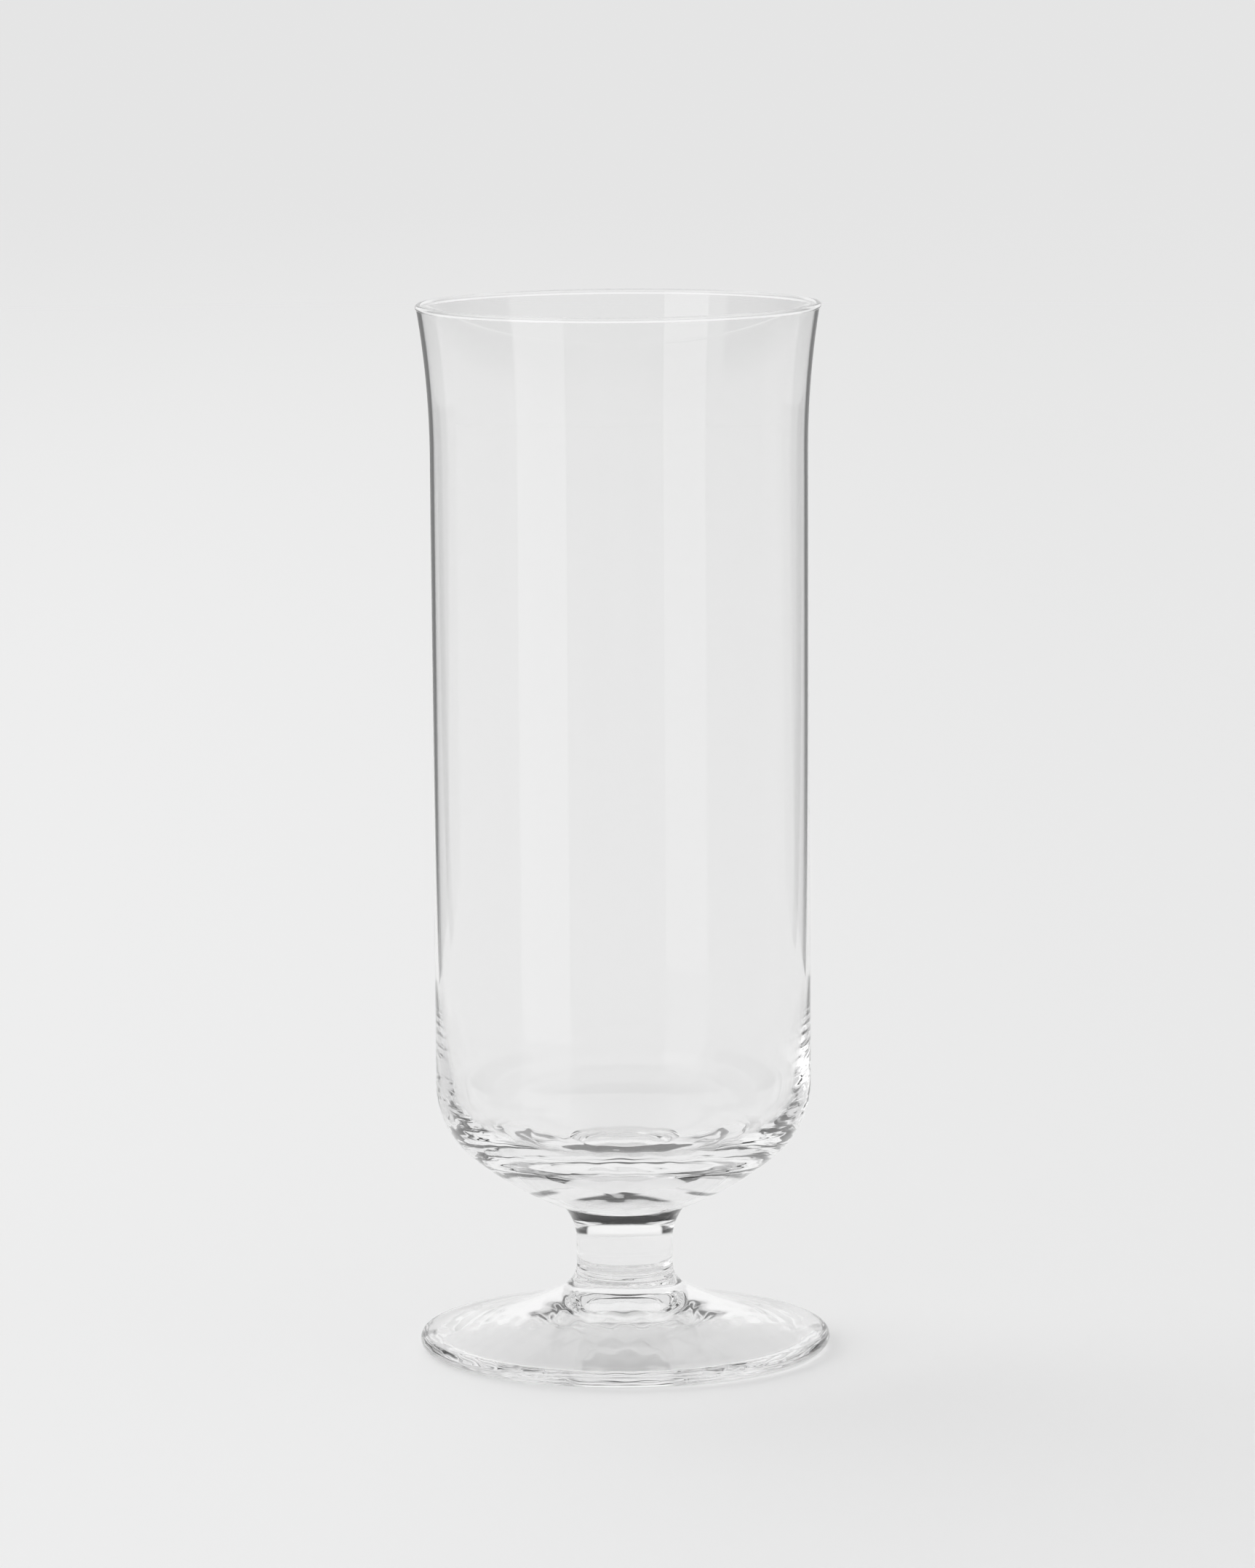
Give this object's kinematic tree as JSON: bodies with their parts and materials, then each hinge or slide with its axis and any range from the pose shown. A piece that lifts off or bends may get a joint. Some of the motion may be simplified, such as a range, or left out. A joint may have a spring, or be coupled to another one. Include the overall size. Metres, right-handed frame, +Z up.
{
  "type": "aperitif glass",
  "caption": "Tall straight clear drinking glass with a gently flared rim and heavy base, on a short waisted stem and a round foot.",
  "frame": {"origin": "centre of the ring that the foot stands on, on the surface under the glass", "axes": "+Z up along the glass's axis, from the foot to the rim; X and Y are alike"},
  "size_m": [0.0666, 0.0666, 0.17],
  "materials": {
    "clear_glass": "fire-polished, clear and colourless"
  },
  "bodies": {
    "root": {"bowl": "clear_glass", "stem": "clear_glass", "foot": "clear_glass"}
  },
  "joints": []
}
